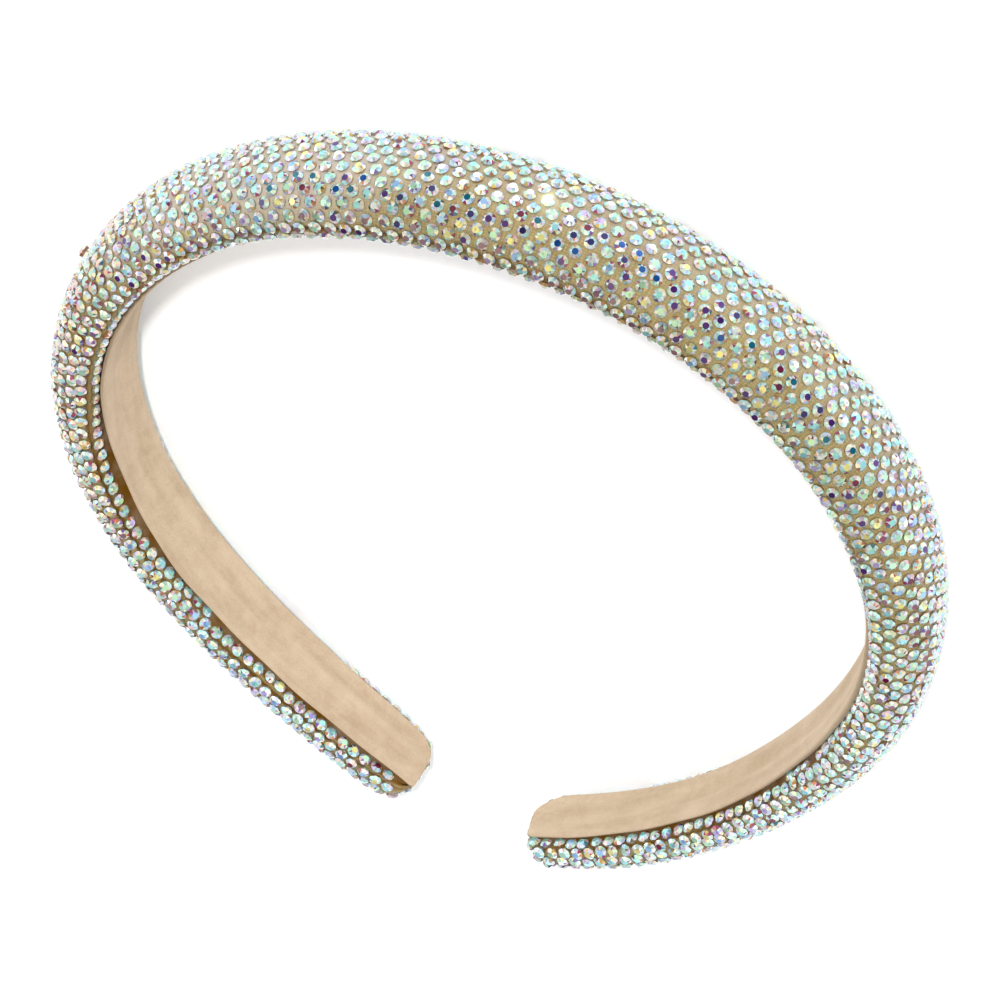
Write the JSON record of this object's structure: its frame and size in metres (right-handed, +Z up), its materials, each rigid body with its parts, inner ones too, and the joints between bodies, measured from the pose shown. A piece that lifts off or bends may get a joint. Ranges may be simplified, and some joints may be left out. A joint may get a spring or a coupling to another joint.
{
  "type": "padded headband",
  "caption": "Curved padded headband paved outside with small iridescent flat-backed stones, with a soft suede-like lining on its inner face.",
  "frame": {"origin": "middle of the underside of the band's box, on the surface that the band lies on", "axes": "+X from ear to ear, +Y from the ends of the legs towards the crown, +Z up, across the band's width"},
  "size_m": [0.1436, 0.1414, 0.0196],
  "materials": {
    "cover": "matt base cloth, olive tan, under the stones",
    "stones": "faceted clear stones with an iridescent coating",
    "lining": "suede-like nap, beige"
  },
  "bodies": {
    "root": {"padded_band": "cover", "lining": "lining"}
  },
  "joints": []
}
